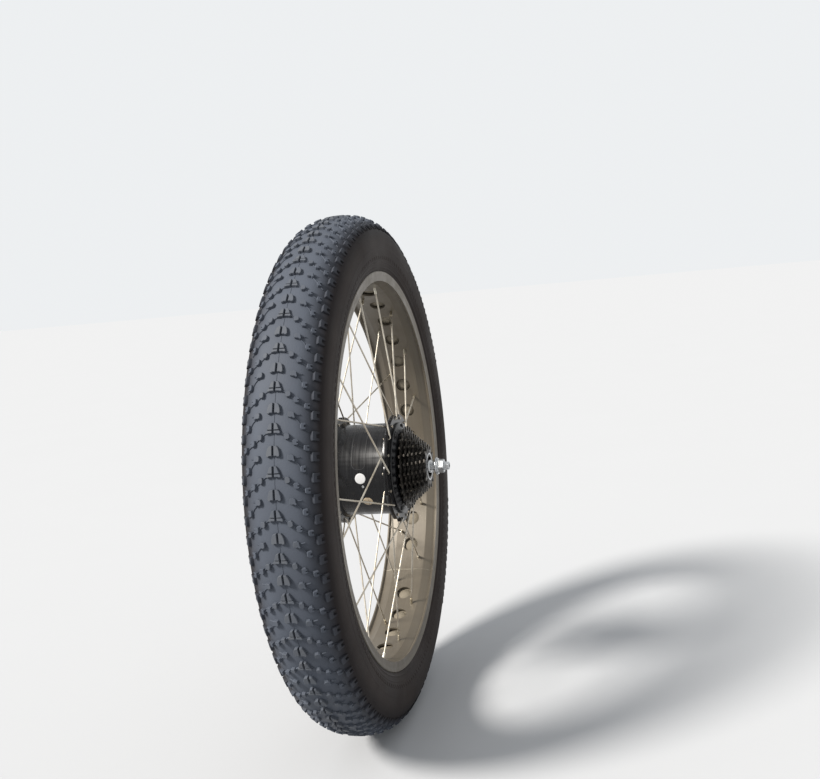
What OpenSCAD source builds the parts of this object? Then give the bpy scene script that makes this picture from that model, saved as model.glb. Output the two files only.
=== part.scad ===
// Rear hub motor wheel for a fat-tyre electric bicycle.
// Geared outrunner motor in a 36-spoke wheel with a 26 x 4.0 tyre, six-bolt disc and 7-speed freewheel.
// The origin is the wheel centre on the axle line. +Z is up, the axle lies along Y.
// +X is forwards, -Y is the drive side (sprockets), +Y is the brake side.
// Every piece is drawn on a local Z axis that runs towards the drive side, then laid on its side.

/* [Wheel] */
// Outer diameter over the tread knobs
tyre_od = 738; // [730:1:748]
// Width of the inflated tyre
tyre_width = 102; // [98:0.5:106]
// Diameter of the rim's bead seat
bead_seat_d = 559; // [558:0.5:560]
// Overall width of the rim
rim_width = 88.6; // [87:0.2:90]
// Diameter of the weight-saving holes round the rim
rim_hole_d = 24; // [18:0.5:26]
// Number of spokes in the wheel
spoke_count = 36; // [36]
// Diameter of a spoke
spoke_d = 2.3; // [2:0.1:2.6]
// Angle from a spoke's rim hole to its hub hole
lacing_angle = 40; // [40]
// Angle of the valve round the rim, from forwards towards up
valve_angle = 130; // [130]

/* [Hub shell] */
// Outer diameter of the drum
drum_d = 132; // [130:0.5:134]
// Wall thickness of the drum
drum_wall = 3; // [2.5:0.1:3.5]
// Diameter over the lobes of a spoke flange
flange_d = 156; // [154:0.5:158]
// Thickness of a spoke flange
flange_t = 6; // [5:0.5:6.5]
// Diameter of the circle of spoke holes
spoke_circle_d = 145; // [144:0.5:146]
// Outer face of the drive-side flange, from the wheel centre
right_face = 49.6; // [49.6]
// Outer face of the brake-side flange, from the wheel centre
left_face = 39; // [39]

/* [Axle] */
// Distance between the outer faces of the spacers, where the dropouts clamp
over_locknut = 190; // [190]
// Overall length of the axle
axle_length = 244; // [238:1:250]
// Diameter of the threaded ends
axle_end_d = 12; // [12]
// Width across the two flats of the threaded ends
axle_flats = 10; // [9.5:0.1:10.5]
// Diameter of the cable duct in the drive-side half
duct_d = 6.4; // [5.5:0.1:6.6]

/* [Motor] */
// Stator slots and teeth
slot_count = 18; // [18]
// Magnets round the rotor
magnet_count = 20; // [20]
// Outer diameter of the stator core
stator_d = 110.6; // [110:0.1:110.8]
// Length of the stator core
stack_length = 34; // [30:0.5:35]

/* [Gears] */
// Gear module
gear_module = 1.25; // [1.25]
// Teeth on the sun gear
sun_teeth = 18; // [18]
// Teeth on each planet gear
planet_teeth = 36; // [36]
// Teeth inside the ring gear
ring_teeth = 90; // [90]

/* [Brake] */
// Diameter of the brake disc
disc_d = 180; // [160:1:182]
// Thickness of the brake disc
disc_t = 1.9; // [1.8:0.1:2]
// Diameter of the circle of disc bolts
disc_bolt_circle = 44; // [44]

/* [Freewheel] */
// Teeth on each sprocket, from the hub outwards
sprocket_teeth = [28, 24, 22, 20, 18, 16, 14]; // seven values
// Distance from one sprocket to the next
sprocket_pitch = 4.92; // [4.8:0.02:4.94]
// Thickness of a sprocket
sprocket_t = 1.9; // [1.8:0.1:2]
// Middle of the largest sprocket, from the wheel centre
first_sprocket = 62; // [62]

/* [Hidden] */
eps = 0.05;
cut = 0.5;
tyre_r = tyre_od / 2;
bead_r = bead_seat_d / 2;
drum_r = drum_d / 2;
shell_r = drum_r - drum_wall;
flange_r = flange_d / 2;
hole_circle_r = spoke_circle_d / 2;
hub_hole_d = spoke_d + 0.3;
holes_per_side = spoke_count / 2;
hole_step = 360 / holes_per_side;
seat = over_locknut / 2;
axle_half = axle_length / 2;
axle_end_r = axle_end_d / 2;
// Radii of the axle from the stator outwards
stator_seat_r = 9;
bearing_seat_r = 8.5;
gear_side_r = 8;
outer_seat_r = 7.5;
rotor_shoulder = 21;
bearing_w = 7;
gear_side_start = 28;
gear_side_end = 50;
end_start = 90;
flat_start = 88;
left_seat_end = 72;
// Hub bearings: brake side 17 x 35 x 10, drive side 15 x 28 x 7
left_bearing_in = 62;
left_bearing_out = 72;
right_bearing_in = 70;
right_bearing_out = 77;
left_outer_ring_r = 17.5;
right_outer_ring_r = 14;
// Spacers and seals
left_spacer_r = 11;
right_spacer_r = 9.5;
spacer_bore_r = 7.55;
spacer_end_bore_r = 6.05;
seal_gap = 0.05;
// Dropout thickness left free outside each seat
dropout_t = 7;
washer_t = 2.5;
nut_t = 10;
nut_flats = 18;
// Rotor
rotor_r = 60;
rotor_wall = 2;
rotor_half = 25;
plate_t = 3;
magnet_t = 2.2;
air_gap_r = 55.8;
// Gear train: axial positions and centre distance
sun_start = 28;
sun_end = 43;
planet_start = 31;
planet_end = 42.5;
ring_start = 30;
ring_end = 43;
carrier_start = 43.5;
carrier_end = 48.5;
sun_pitch_r = gear_module * sun_teeth / 2;
planet_pitch_r = gear_module * planet_teeth / 2;
ring_pitch_r = gear_module * ring_teeth / 2;
centre_distance = sun_pitch_r + planet_pitch_r;
planet_angles = [90, 210, 330];
pin_r = 4;
pin_gap = 0.05;
pressure_angle = 20;
backlash_angle = 0.15;
clutch_in_r = 12;
clutch_out_r = 16;
roller_count = 10;
// Covers
gasket_t = 0.5;
left_cover_r = 69.8;
left_screw_r = 67.2;
right_cover_r = 66;
right_screw_r = 60.5;
cover_screws = 9;
lip_r = 57;
boss_r = 29;
boss_end = 79.7;
neck_r = 17.46;
neck_end = 81;
disc_bolt_r = disc_bolt_circle / 2;
// Rim section
well_r = 271.7;
well_t = 3;
well_half = 25;
side_r = 272.5;
flange_tip_r = 286.5;
rim_half = rim_width / 2;
nipple_z = 15.6;
// Bend of a spoke's elbow on its centre line, its reach past the flange and its head
bend_r = 2.2;
elbow_out = spoke_d / 2 + 1;
head_t = 0.9;
hole_pitch = 10;
// Freewheel
thread_end = 81.5;
inner_start = 58.5;
inner_end = 93;
race_r = 19.8;
outer_bore_r = 20.2;
pawl_start = 62.5;
pawl_end = 70.5;
pawl_seat_r = 24;
ratchet_r = 27.5;
ratchet_teeth = 20;
roller_pitch = 12.7;
roller_r = 3.97;

// ---------- Helpers ----------

// Lays a piece drawn on the local Z axis along the axle
module lay() {
  rotate([90, 0, 0])
    children();
}

// Ring between two radii and two axial positions
module ring(r_in, r_out, z0, z1, fn = 96) {
  rotate_extrude($fn = fn)
    translate([r_in, z0])
      square([r_out - r_in, z1 - z0]);
}

// Plain cylinder between two axial positions
module post(r, z0, z1, fn = 48) {
  translate([0, 0, z0])
    cylinder(h = z1 - z0, r = r, $fn = fn);
}

// Cylinder from one point to another
module rod(p, q, r, fn = 24) {
  v = q - p;
  length = norm(v);
  translate(p)
    rotate([0, acos(v[2] / length), atan2(v[1], v[0])])
      cylinder(h = length, r = r, $fn = fn);
}

// Point on a circle at an axial position
function polar(r, a, z) = [r * cos(a), r * sin(a), z];

// Ring of bearing balls
module ball_row(count, circle_r, ball_r, z) {
  for (i = [0:count - 1])
    rotate([0, 0, i * 360 / count])
      translate([circle_r, 0, z])
        sphere(r = ball_r, $fn = 24);
}

// Groove cut by a ball row
module ball_groove(circle_r, groove_r, z) {
  rotate_extrude($fn = 96)
    translate([circle_r, z])
      circle(r = groove_r, $fn = 32);
}

// Involute angle of a flank at radius r, in degrees
function involute(base_r, r) =
  let (a = acos(min(1, base_r / r)))
  tan(a) * 180 / PI - a;

// Half the angle of a tooth at radius r
function half_tooth(teeth, pitch_r, r, slack) =
  let (base_r = pitch_r * cos(pressure_angle))
  90 / teeth + involute(base_r, pitch_r) - involute(base_r, max(r, base_r)) - slack;

// Outline of a toothed wheel with involute flanks
function gear_outline(teeth, pitch_r, root_r, tip_r, slack) =
  let (steps = 4)
  [
    for (i = [0:teeth - 1])
      for (j = [0:2 * steps + 1])
        let (side = j <= steps ? -1 : 1)
        let (k = j <= steps ? j : 2 * steps + 1 - j)
        let (r = root_r + (tip_r - root_r) * k / steps)
        let (a = i * 360 / teeth + side * half_tooth(teeth, pitch_r, r, slack))
        [r * cos(a), r * sin(a)]
  ];

module gear_2d(teeth, root_extra, tip_extra, slack) {
  pitch_r = gear_module * teeth / 2;
  polygon(gear_outline(teeth, pitch_r, pitch_r - root_extra, pitch_r + tip_extra, slack));
}

// Pan-head screw: head on the outer side of face z, shank going inwards (dir = 1 outwards is +z)
module screw(shank_r, length, head_r, head_h, socket_r, z, dir) {
  translate([0, 0, z])
    mirror([0, 0, dir > 0 ? 0 : 1])
      difference() {
        union() {
          translate([0, 0, -length])
            cylinder(h = length + eps, r = shank_r, $fn = 24);
          cylinder(h = head_h * 0.6, r = head_r, $fn = 32);
          translate([0, 0, head_h * 0.6])
            cylinder(h = head_h * 0.4, r1 = head_r, r2 = head_r * 0.7, $fn = 32);
        }
        translate([0, 0, head_h * 0.35])
          cylinder(h = head_h, r = socket_r, $fn = 6);
      }
}

// ---------- Axle assembly, fixed to the frame ----------

module axle() {
  color("silver")
    lay()
      difference() {
        union() {
          post(stator_seat_r, -rotor_shoulder, rotor_shoulder);
          post(bearing_seat_r, -left_seat_end, gear_side_start);
          post(gear_side_r, gear_side_start - eps, gear_side_end);
          post(outer_seat_r, -end_start, end_start);
          post(axle_end_r, -axle_half + 1, axle_half - 1);
          translate([0, 0, axle_half - 1 - eps])
            cylinder(h = 1 + eps, r1 = axle_end_r, r2 = axle_end_r - 0.8, $fn = 48);
          translate([0, 0, -axle_half])
            cylinder(h = 1 + eps, r1 = axle_end_r - 0.8, r2 = axle_end_r, $fn = 48);
        }
        // Cable duct from the drive-side end to the slot beside the carrier
        post(duct_d / 2, -50, axle_half + 1, 36);
        // Slot where the wires leave the duct inside the shell
        translate([0, -2.5, -49])
          cube([20, 5, 14]);
        // Two flats on each threaded end
        for (end = [-1, 1])
          for (side = [-1, 1])
            translate([side * (axle_flats / 2 + 10), 0, end * (flat_start + 30)])
              cube([20, 40, 56], center = true);
        // Key seats
        translate([6.2, -2.5, -15])
          cube([5, 5, 30]);
        translate([6, -2, carrier_start])
          cube([5, 4, carrier_end - carrier_start]);
      }
}

module axle_keys() {
  color("dimgray")
    lay() {
      translate([6.2, -2.5, -15])
        cube([4.8, 5, 30]);
      translate([6, -2, carrier_start])
        cube([3.8, 4, carrier_end - carrier_start]);
    }
}

// Spider that carries the laminations on the axle
module stator_hub() {
  color("lightgray")
    lay()
      difference() {
        union() {
          ring(stator_seat_r, 15, -stack_length / 2, stack_length / 2);
          ring(14, 31, -6, 6);
          ring(26, 30, -stack_length / 2, stack_length / 2);
        }
        ring(30, 32, -20, 20);
        translate([6.2, -2.5, -20])
          cube([4.8, 5, 40]);
        for (i = [0:5])
          rotate([0, 0, 30 + i * 60])
            translate([20.5, 0, 0])
              post(4, -10, 10, 32);
      }
}

module stator_core() {
  tooth_step = 360 / slot_count;
  core_r = stator_d / 2;
  color("slategray")
    lay()
      translate([0, 0, -stack_length / 2])
        linear_extrude(height = stack_length)
          difference() {
            circle(r = core_r, $fn = 180);
            circle(r = 30, $fn = 96);
            for (i = [0:slot_count - 1])
              rotate([0, 0, (i + 0.5) * tooth_step])
                polygon([
                  [39.5, -(39.5 * tan(tooth_step / 2) - 4)],
                  [52, -(52 * tan(tooth_step / 2) - 4)],
                  [53.6, -1.2],
                  [57, -1.2],
                  [57, 1.2],
                  [53.6, 1.2],
                  [52, 52 * tan(tooth_step / 2) - 4],
                  [39.5, 39.5 * tan(tooth_step / 2) - 4]
                ]);
          }
}

module stator_windings() {
  tooth_step = 360 / slot_count;
  end_turn = stack_length / 2 + 4;
  color("darkorange")
    lay()
      for (i = [0:slot_count - 1])
        rotate([0, 0, i * tooth_step])
          translate([41.4, 0, 0])
            difference() {
              translate([0, -6.4, -end_turn])
                cube([10, 12.8, 2 * end_turn]);
              translate([-1, -4.15, -stack_length / 2 - 0.1])
                cube([12, 8.3, stack_length + 0.2]);
              for (s = [-1, 1])
                for (e = [-1, 1])
                  translate([5, s * 6.4, e * end_turn])
                    rotate([45, 0, 0])
                      cube([12, 2.4, 2.4], center = true);
            }
}

// Arc of circuit board on three standoffs, with three Hall sensors facing the magnets
module hall_sensor_board() {
  color("darkgreen")
    lay() {
      translate([0, 0, -24.2])
        rotate([0, 0, 130])
          rotate_extrude(angle = 100, $fn = 96)
            translate([35.5, 0])
              square([16, 1.6]);
      for (a = [140, 180, 220])
        rotate([0, 0, a])
          translate([37.6, 0, 0])
            post(1.6, -22.7, -stack_length / 2, 20);
      for (a = [150, 170, 190])
        rotate([0, 0, a])
          translate([52.6, -2, -24.2])
            cube([1.2, 4, 4.4]);
      for (a = [150, 170, 190])
        rotate([0, 0, a])
          translate([51, -1.5, -24.2])
            cube([2, 3, 1.6]);
    }
}

module clutch_inner_race() {
  color("gainsboro")
    lay()
      difference() {
        ring(gear_side_r, clutch_in_r, carrier_start, carrier_end);
        translate([6, -2, carrier_start - 1])
          cube([3.8, 4, 7]);
      }
}

module clutch_rollers() {
  color("whitesmoke")
    lay()
      for (i = [0:roller_count - 1])
        rotate([0, 0, (i + 0.5) * 360 / roller_count])
          translate([(clutch_in_r + clutch_out_r) / 2, 0, 0])
            post((clutch_out_r - clutch_in_r) / 2 - 0.01, carrier_start + 0.2, carrier_end - 0.2, 32);
}

module planet_carrier() {
  color("silver")
    lay()
      difference() {
        ring(clutch_out_r, 43, carrier_start, carrier_end);
        for (a = planet_angles)
          rotate([0, 0, a])
            translate([centre_distance, 0, 0])
              post(pin_r, carrier_start - 1, carrier_end + 1);
        for (a = planet_angles)
          rotate([0, 0, a + 60])
            translate([31, 0, 0])
              post(9, carrier_start - 1, carrier_end + 1);
      }
}

module planet_pins() {
  color("gainsboro")
    lay()
      for (a = planet_angles)
        rotate([0, 0, a])
          translate([centre_distance, 0, 0]) {
            post(pin_r, 29.7, carrier_end);
            ring(pin_r - 0.4, 6, 29.9, 30.6, 48);
          }
}

module hub_bearing_inner_rings() {
  color("gainsboro")
    lay() {
      difference() {
        ring(bearing_seat_r, 11, -left_bearing_out, -left_bearing_in);
        ball_groove(13, 2.42, -67);
      }
      difference() {
        ring(outer_seat_r, 9.4, right_bearing_in, right_bearing_out);
        ball_groove(10.75, 1.79, 73.5);
      }
    }
}

module rotor_bearing_inner_rings() {
  color("gainsboro")
    lay()
      for (s = [-1, 1])
        difference() {
          ring(bearing_seat_r, 10.5, s * 24.5 - 3.5, s * 24.5 + 3.5);
          ball_groove(11.75, 1.99, s * 24.5);
        }
}

// Sleeve between the brake-side bearing and the dropout
module left_spacer() {
  color("silver")
    lay()
      difference() {
        post(left_spacer_r, -seat, -left_bearing_out);
        post(spacer_bore_r, -end_start, -left_bearing_out + 1);
        post(spacer_end_bore_r, -seat - 1, -end_start + 1);
      }
}

// Sleeve between the drive-side bearing and the dropout
module right_spacer() {
  color("silver")
    lay()
      difference() {
        post(right_spacer_r, right_bearing_out, seat);
        post(spacer_bore_r, right_bearing_out - 1, end_start);
        post(spacer_end_bore_r, end_start - 1, seat + 1);
      }
}

// Tabbed washer keyed on the flats, outside the dropout gap
module torque_washer() {
  difference() {
    union() {
      post(12.5, 0, washer_t);
      translate([0, -4, 0])
        cube([19, 8, washer_t]);
    }
    translate([0, 0, -1])
      linear_extrude(height = washer_t + 2)
        intersection() {
          circle(r = axle_end_r + 0.1, $fn = 48);
          square([axle_flats + 0.2, 20], center = true);
        }
  }
}

module torque_washers() {
  color("silver")
    lay() {
      translate([0, 0, seat + dropout_t])
        torque_washer();
      translate([0, 0, -seat - dropout_t - washer_t])
        torque_washer();
    }
}

module axle_nut() {
  difference() {
    union() {
      post(11.5, 0, 1.6);
      intersection() {
        post(nut_flats / sqrt(3), 1, nut_t, 6);
        union() {
          post(nut_flats / 2 + 0.2, 1, nut_t + 1);
          translate([0, 0, nut_t - 2])
            cylinder(h = 2, r1 = 11.2, r2 = 9.2, $fn = 48);
          post(11.2, 1, nut_t - 2 + eps);
        }
      }
    }
    post(axle_end_r, -1, nut_t + 1);
  }
}

module axle_nuts() {
  nut_start = seat + dropout_t + washer_t;
  color("lightgray")
    lay() {
      translate([0, 0, nut_start])
        axle_nut();
      translate([0, 0, -nut_start])
        mirror([0, 0, 1])
          axle_nut();
    }
}

// Rubber sleeve that closes the duct's outlet
module cable_grommet() {
  color("black")
    lay()
      ring(1.5, duct_d / 2, axle_half - 12, axle_half - 0.4, 36);
}

// ---------- Wheel: hub shell ----------

// Scalloped outline of a flange with nine lobes, two spoke holes in each
module flange_2d(first_hole) {
  lobes = holes_per_side / 2;
  difference() {
    circle(r = flange_r, $fn = 180);
    for (i = [0:lobes - 1])
      rotate([0, 0, first_hole - hole_step / 2 + i * 2 * hole_step])
        translate([flange_r + 9, 0])
          circle(r = 14, $fn = 64);
    for (i = [0:holes_per_side - 1])
      rotate([0, 0, first_hole + i * hole_step])
        translate([hole_circle_r, 0])
          circle(d = hub_hole_d, $fn = 20);
  }
}

module hub_shell() {
  right_in = right_face - flange_t;
  left_in = left_face - flange_t;
  color([0.1, 0.1, 0.11])
    lay()
      difference() {
        union() {
          post(drum_r, -left_face, right_face, 128);
          translate([0, 0, right_in])
            linear_extrude(height = flange_t)
              flange_2d(15);
          translate([0, 0, -left_face])
            linear_extrude(height = flange_t)
              flange_2d(25);
          // Fillet cones where the drum meets the flanges
          translate([0, 0, right_in - 4])
            cylinder(h = 4 + eps, r1 = drum_r, r2 = drum_r + 3.4, $fn = 128);
          translate([0, 0, -left_in - eps])
            cylinder(h = 4, r1 = drum_r + 3.4, r2 = drum_r, $fn = 128);
        }
        post(shell_r, -left_face - 1, right_in, 128);
        post(lip_r, right_in - 1, right_face + 1, 128);
        for (i = [0:cover_screws - 1])
          rotate([0, 0, i * 360 / cover_screws]) {
            translate([right_screw_r, 0, 0])
              post(2, right_in - 1, right_face + 1, 20);
            translate([left_screw_r, 0, 0])
              post(1.5, -left_face - 1, -left_in - 1, 20);
          }
      }
}

// Brake-side cover with the bearing boss and the disc seat
module left_cover() {
  face = -left_face - gasket_t;
  color([0.1, 0.1, 0.11])
    lay()
      difference() {
        union() {
          rotate_extrude($fn = 128)
            polygon([
              [17.5, -60],
              [24, -57.5],
              [38, -49],
              [58.5, -42.5],
              [59.5, -36],
              [62.9, -36],
              [62.9, face],
              [left_cover_r, face],
              [left_cover_r, face - 2.6],
              [left_cover_r - 1, face - 3.6],
              [62.5, face - 4.2],
              [56, face - 7],
              [40, -54],
              [31.5, -61],
              [boss_r, -66],
              [boss_r, -boss_end],
              [17.5, -boss_end]
            ]);
          ring(15, 17.5 + eps, -61.9, -60);
        }
        for (i = [0:cover_screws - 1])
          rotate([0, 0, i * 360 / cover_screws])
            translate([left_screw_r, 0, 0]) {
              post(1.7, face - 8, face + 1, 20);
              // Flat seat for the screw's head
              post(2.8, face - 8, face - 3.7, 32);
            }
        for (i = [0:5])
          rotate([0, 0, i * 60])
            translate([disc_bolt_r, 0, 0])
              post(2.5, -boss_end - 1, -boss_end + 9, 20);
      }
}

// Drive-side cover with a shallow dome and the threaded neck for the freewheel
module right_cover() {
  face = right_face + gasket_t;
  color([0.1, 0.1, 0.11])
    lay()
      difference() {
        union() {
          rotate_extrude($fn = 128)
            polygon([
              [12, 53.2],
              [50, 53.2],
              [56, 50.6],
              [56.6, 46.5],
              [56.9, 46.5],
              [56.9, face],
              [right_cover_r, face],
              [right_cover_r, face + 2.2],
              [right_cover_r - 1, face + 3.2],
              [61, face + 3.6],
              [58, 55.6],
              [52, 57],
              [22, 57.4],
              [19.4, 58.4],
              [neck_r, 58.4],
              [neck_r, neck_end],
              [right_outer_ring_r, neck_end],
              [right_outer_ring_r, right_bearing_in],
              [12, right_bearing_in]
            ]);
        }
        for (i = [0:cover_screws - 1])
          rotate([0, 0, i * 360 / cover_screws])
            translate([right_screw_r, 0, 0]) {
              post(2.2, face - 1, face + 8, 20);
              // Flat seat for the screw's head, sunk into the dome
              post(3.7, face + 3.1, face + 9, 32);
            }
      }
}

module left_cover_screws() {
  color("dimgray")
    lay()
      for (i = [0:cover_screws - 1])
        rotate([0, 0, i * 360 / cover_screws])
          translate([left_screw_r, 0, 0])
            screw(1.5, 8.4, 2.5, 2, 1, -left_face - gasket_t - 3.7, -1);
}

module right_cover_screws() {
  color("dimgray")
    lay()
      for (i = [0:cover_screws - 1])
        rotate([0, 0, i * 360 / cover_screws])
          translate([right_screw_r, 0, 0])
            screw(2, 8.6, 3.4, 2.4, 1.4, right_face + gasket_t + 3.1, 1);
}

module cover_gaskets() {
  color("dimgray")
    lay() {
      difference() {
        ring(63, left_cover_r, -left_face - gasket_t, -left_face);
        for (i = [0:cover_screws - 1])
          rotate([0, 0, i * 360 / cover_screws])
            translate([left_screw_r, 0, 0])
              post(1.7, -left_face - 1, -left_face + 1, 20);
      }
      difference() {
        ring(lip_r, right_cover_r, right_face, right_face + gasket_t);
        for (i = [0:cover_screws - 1])
          rotate([0, 0, i * 360 / cover_screws])
            translate([right_screw_r, 0, 0])
              post(2.2, right_face - 1, right_face + 1, 20);
      }
    }
}

module ring_gear() {
  color("ivory")
    lay()
      translate([0, 0, ring_start])
        linear_extrude(height = ring_end - ring_start)
          difference() {
            circle(r = shell_r, $fn = 128);
            rotate([0, 0, 180 / ring_teeth])
              gear_2d(ring_teeth, gear_module, 1.25 * gear_module, -0.04);
          }
}

module hub_bearing_outer_rings() {
  color("gainsboro")
    lay() {
      difference() {
        ring(15, left_outer_ring_r, -left_bearing_out, -left_bearing_in);
        ball_groove(13, 2.38, -67);
      }
      difference() {
        ring(12.1, right_outer_ring_r, right_bearing_in, right_bearing_out);
        ball_groove(10.75, 1.75, 73.5);
      }
    }
}

module hub_bearing_balls() {
  color("whitesmoke")
    lay() {
      ball_row(10, 13, 2.38, -67);
      ball_row(11, 10.75, 1.75, 73.5);
    }
}

module shaft_seals() {
  color([0.15, 0.15, 0.15])
    lay() {
      ring(left_spacer_r + seal_gap, left_outer_ring_r, -77.5, -73.5);
      ring(right_spacer_r + seal_gap, right_outer_ring_r, 77.6, 80.6);
    }
}

// ---------- Wheel: brake ----------

module brake_disc() {
  band_in = disc_d / 2 - 16;
  arms = 6;
  z0 = -boss_end - disc_t;
  color("silver")
    lay()
      difference() {
        union() {
          ring(band_in, disc_d / 2, z0, -boss_end, 180);
          ring(17.5, boss_r - 1, z0, -boss_end);
          difference() {
            for (i = [0:arms - 1])
              rotate([0, 0, i * 60])
                translate([0, 0, z0])
                  linear_extrude(height = disc_t)
                    polygon([
                      [disc_bolt_r - 2, -6],
                      [60, 3],
                      [band_in + 3, 19],
                      [band_in + 1, 30],
                      [56, 13],
                      [disc_bolt_r - 2, 4]
                    ]);
            post(boss_r - 2, z0 - 1, -boss_end + 1, 96);
          }
        }
        for (i = [0:5])
          rotate([0, 0, i * 60])
            translate([disc_bolt_r, 0, 0])
              post(2.6, z0 - 1, -boss_end + 1, 20);
        // Cooling holes through the band
        for (i = [0:17])
          for (j = [0:2])
            rotate([0, 0, i * 20 + j * 5])
              translate([disc_d / 2 - 4 - j * 4, 0, 0])
                post(1.8, z0 - 1, -boss_end + 1, 20);
      }
}

module brake_disc_bolts() {
  color("dimgray")
    lay()
      for (i = [0:5])
        rotate([0, 0, i * 60])
          translate([disc_bolt_r, 0, 0])
            screw(2.5, 9.4, 4.4, 2.6, 1.5, -boss_end - disc_t, -1);
}

// ---------- Wheel: rim, spokes, tyre ----------

// Signed side of a spoke set: +1 drive side, -1 brake side
function rim_angle(side, k) = (side > 0 ? 15 : 25) + k * hole_step;
function hub_angle(side, k) = rim_angle(side, k) + (k % 2 == 0 ? lacing_angle : -lacing_angle);
// Even spokes leave the outer face of the flange, odd spokes the inner face
function leaves(k) = k % 2 == 0 ? 1 : -1;
function flange_mid(side) = side > 0 ? right_face - flange_t / 2 : -left_face + flange_t / 2;
function elbow_z(side, k) = flange_mid(side) + side * leaves(k) * (flange_t / 2 + elbow_out);
function spoke_foot(side, k) = polar(hole_circle_r, hub_angle(side, k), elbow_z(side, k));
function spoke_top(side, k) = polar(well_r + well_t, rim_angle(side, k), side * nipple_z);
function along(p, q, d) = p + (q - p) * d / norm(q - p);

module rim() {
  color("silver")
    lay()
      difference() {
        rotate_extrude($fn = 256)
          polygon([
            [well_r, -well_half],
            [well_r, well_half],
            [276, 38],
            [side_r, 40.6],
            [side_r, 42.6],
            [280, rim_half - 1.2],
            [flange_tip_r - 1, rim_half],
            [flange_tip_r, rim_half - 0.8],
            [flange_tip_r - 0.8, rim_half - 2.4],
            [283, rim_half - 2.6],
            [bead_r, rim_half - 3.2],
            [bead_r, 33.5],
            [well_r + well_t, well_half - 3],
            [well_r + well_t, -well_half + 3],
            [bead_r, -33.5],
            [bead_r, -rim_half + 3.2],
            [283, -rim_half + 2.6],
            [flange_tip_r - 0.8, -rim_half + 2.4],
            [flange_tip_r, -rim_half + 0.8],
            [flange_tip_r - 1, -rim_half],
            [280, -rim_half + 1.2],
            [side_r, -42.6],
            [side_r, -40.6],
            [276, -38]
          ]);
        // Weight-saving holes, left out at the valve and at the rim's joint opposite it
        for (i = [0:spoke_count - 1])
          if ((i * hole_pitch + 20 - valve_angle) % 180 != 0)
            rotate([0, 0, i * hole_pitch + 20])
              translate([260, 0, 0])
                rotate([0, 90, 0])
                  cylinder(h = 30, d = rim_hole_d, $fn = 48);
        // Valve hole
        rotate([0, 0, valve_angle])
          translate([260, 0, 0])
            rotate([0, 90, 0])
              cylinder(h = 30, r = 4.25, $fn = 32);
        // Spoke holes along the line of each spoke
        for (side = [-1, 1])
          for (k = [0:holes_per_side - 1])
            rod(
              along(spoke_top(side, k), spoke_foot(side, k), 8),
              along(spoke_top(side, k), spoke_foot(side, k), -6),
              2.2,
              20
            );
      }
}

// Woven band that covers the holes from inside the rim
module rim_strip() {
  color("dimgray")
    lay()
      difference() {
        rotate_extrude($fn = 180)
          polygon([
            [277.9, -21.5],
            [277.9, 21.5],
            [280.6, 33],
            [281.4, 33],
            [278.8, 21.2],
            [278.8, -21.2],
            [281.4, -33],
            [280.6, -33]
          ]);
        rotate([0, 0, valve_angle])
          translate([270, 0, 0])
            rotate([0, 90, 0])
              cylinder(h = 20, r = 4.25, $fn = 32);
      }
}

// One spoke: head, leg through the flange, bent elbow and straight shank.
// Drawn in the plane of its bend, with X from the bend's centre to the leg and Y along the leg.
module spoke(corner, leg, top) {
  shank = (top - corner) / norm(top - corner);
  turn = acos(leg * shank);
  flat_part = shank - leg * (leg * shank);
  inward = flat_part / norm(flat_part);
  axis = cross(-inward, leg);
  setback = bend_r * tan(turn / 2);
  centre = corner - leg * setback + inward * bend_r;
  leg_length = flange_t / 2 + elbow_out - setback + flange_t / 2 + head_t - 0.1;
  shank_length = norm(top - corner) - setback - 3;
  multmatrix([
    [-inward[0], leg[0], axis[0], centre[0]],
    [-inward[1], leg[1], axis[1], centre[1]],
    [-inward[2], leg[2], axis[2], centre[2]],
    [0, 0, 0, 1]
  ]) {
    rotate_extrude(angle = turn, $fn = 48)
      translate([bend_r, 0])
        circle(d = spoke_d - 0.1, $fn = 24);
    // The leg and the shank run a little way into the elbow, which is slightly thinner
    translate([bend_r, 0.15, 0])
      rotate([90, 0, 0])
        cylinder(h = leg_length + 0.2, d = spoke_d, $fn = 24);
    translate([bend_r, -leg_length, 0])
      rotate([90, 0, 0])
        cylinder(h = head_t, r = 2.1, $fn = 32);
    rotate([0, 0, turn])
      translate([bend_r, -0.15, 0])
        rotate([-90, 0, 0])
          cylinder(h = shank_length + 0.15, d = spoke_d, $fn = 24);
  }
}

module spoke_set(side) {
  for (k = [0:holes_per_side - 1])
    spoke(spoke_foot(side, k), [0, 0, side * leaves(k)], spoke_top(side, k));
}

module spokes_left() {
  color("gainsboro")
    lay()
      spoke_set(-1);
}

module spokes_right() {
  color("gainsboro")
    lay()
      spoke_set(1);
}

module spoke_nipples() {
  color("silver")
    lay()
      for (side = [-1, 1])
        for (k = [0:holes_per_side - 1]) {
          top = spoke_top(side, k);
          foot = spoke_foot(side, k);
          difference() {
            union() {
              rod(along(top, foot, 12), along(top, foot, -2), 2.05);
              rod(along(top, foot, -0.7), along(top, foot, -2.2), 3);
            }
            rod(along(top, foot, 13), along(top, foot, 3), spoke_d / 2);
          }
        }
}

// Outer line of the inflated section, as [radius, offset], lower half stretched to the bead
function swell(a, half_w, up, down) =
  [
    324 + (a > 0 ? up : -down) * pow(abs(sin(a)), 2 / 2.4),
    half_w * pow(abs(cos(a)), 2 / 2.4)
  ];

function section(half_w, up, down, low) =
  [
    for (i = [0:24])
      swell(low + (90 - low) * i / 24, half_w, up, down)
  ];

function flip(points) = [for (i = [len(points) - 1:-1:0]) [points[i][0], -points[i][1]]];

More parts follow.
